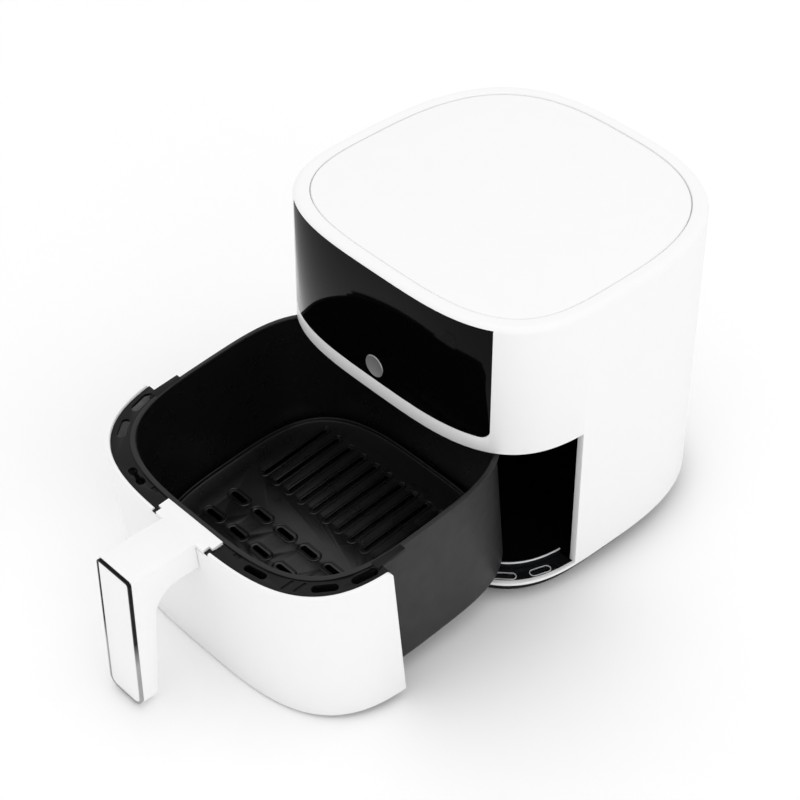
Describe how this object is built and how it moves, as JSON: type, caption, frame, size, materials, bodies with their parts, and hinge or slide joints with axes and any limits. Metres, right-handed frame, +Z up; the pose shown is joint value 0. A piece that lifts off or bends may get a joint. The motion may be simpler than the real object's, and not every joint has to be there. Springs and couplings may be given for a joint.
{
  "type": "hot-air fryer",
  "caption": "White countertop hot-air fryer with a gloss black control panel and a pull-out drawer that holds a pan, a lift-out crisper plate and an upright handle.",
  "frame": {"origin": "on the table under the fryer, midway across its footprint with the drawer drawn out", "axes": "+X to the right of the body seen from behind the drawer, +Y towards the back, +Z up; the drawer comes out towards -Y"},
  "size_m": [0.3, 0.5646, 0.2889],
  "materials": {
    "shell_white": "satin moulded white",
    "panel_black": "high gloss",
    "badge_silver": "satin",
    "display_dark": "smoked",
    "circuit_green": "solder mask",
    "base_black": "fine grain",
    "foot_rubber": "matt",
    "screw_steel": "zinc plated",
    "glide_steel": "ground",
    "liner_black": "heat resistant coating",
    "sheet_metal": "mill finish",
    "element_steel": "heat darkened",
    "ceramic_white": "unglazed ceramic",
    "guard_chrome": "plated wire",
    "insulation_felt": "mineral felt",
    "fan_black": "moulded",
    "motor_steel": "stamped",
    "nut_brass": "bright",
    "plunger_white": "plain",
    "drawer_black": "fine grain",
    "pan_coating": "satin non-stick coating",
    "plate_coating": "semi-gloss non-stick coating",
    "handle_white": "semi-gloss moulded white",
    "bezel_chrome": "bright plated"
  },
  "bodies": {
    "housing": {"outer_shell": "shell_white", "top_cover": "shell_white", "control_panel": "panel_black", "panel_badge": "badge_silver", "display_module": "display_dark", "panel_board": "circuit_green", "base_plate": "base_black", "rubber_feet": "foot_rubber", "base_screws": "screw_steel", "sill_tray": "base_black", "cavity_liner": "liner_black", "chamber_ceiling": "sheet_metal", "ceiling_screws": "screw_steel", "heating_element": "element_steel", "element_seals": "ceramic_white", "heater_guard": "guard_chrome", "fan_housing": "sheet_metal", "insulation_wrap": "insulation_felt", "motor_stator": "motor_steel", "motor_bracket": "sheet_metal", "motor_screws": "screw_steel", "exhaust_duct": "sheet_metal", "rear_vent": "base_black", "temp_probe": "guard_chrome", "thermal_fuse": "ceramic_white", "door_switch": "base_black", "power_board": "circuit_green", "board_posts": "base_black", "terminal_block": "ceramic_white", "cord_gland": "base_black"},
    "glide_bar": {"glide_bar": "glide_steel"},
    "drawer": {"drawer_front": "shell_white", "drawer_trim": "drawer_black", "drawer_floor": "drawer_black", "side_cheeks": "drawer_black", "pan": "pan_coating", "pan_clips": "screw_steel", "handle_body": "handle_white", "handle_plate": "sheet_metal", "handle_screws": "screw_steel", "grip_bezel": "bezel_chrome", "grip_insert": "handle_white"},
    "crisper": {"crisper_plate": "plate_coating", "plate_bumpers": "foot_rubber"},
    "fan": {"convection_fan": "sheet_metal", "motor_shaft": "glide_steel", "fan_nut": "nut_brass", "cooling_fan": "fan_black"},
    "plunger": {"switch_plunger": "plunger_white"}
  },
  "joints": [
    {"name": "drawer_tip", "type": "hinge", "parent": "housing", "child": "glide_bar", "pos_m": [0, 0.00128, 0.0227], "axis": [1, 0, 0], "range_deg": [-5.7, 0]},
    {"name": "drawer_slide", "type": "slide", "parent": "glide_bar", "child": "drawer", "axis": [0, -0.9952, -0.0981], "range_m": [-0.19, 0]},
    {"name": "crisper_lift", "type": "slide", "parent": "drawer", "child": "crisper", "axis": [0, -0.0981, 0.9952], "range_m": [0, 0.11]},
    {"name": "fan_spin", "type": "hinge", "parent": "housing", "child": "fan", "pos_m": [0, 0.12288, 0.2055], "axis": [0, 0, 1], "continuous": true},
    {"name": "switch_press", "type": "slide", "parent": "housing", "child": "plunger", "axis": [0, 1, 0], "range_m": [0, 0.002], "stiffness_N_per_m": 300, "springref_m": -0.001}
  ],
  "couplings": [
    {"joint": "drawer_tip", "follows": "drawer_slide", "rad_per_m": 0.51698}
  ]
}
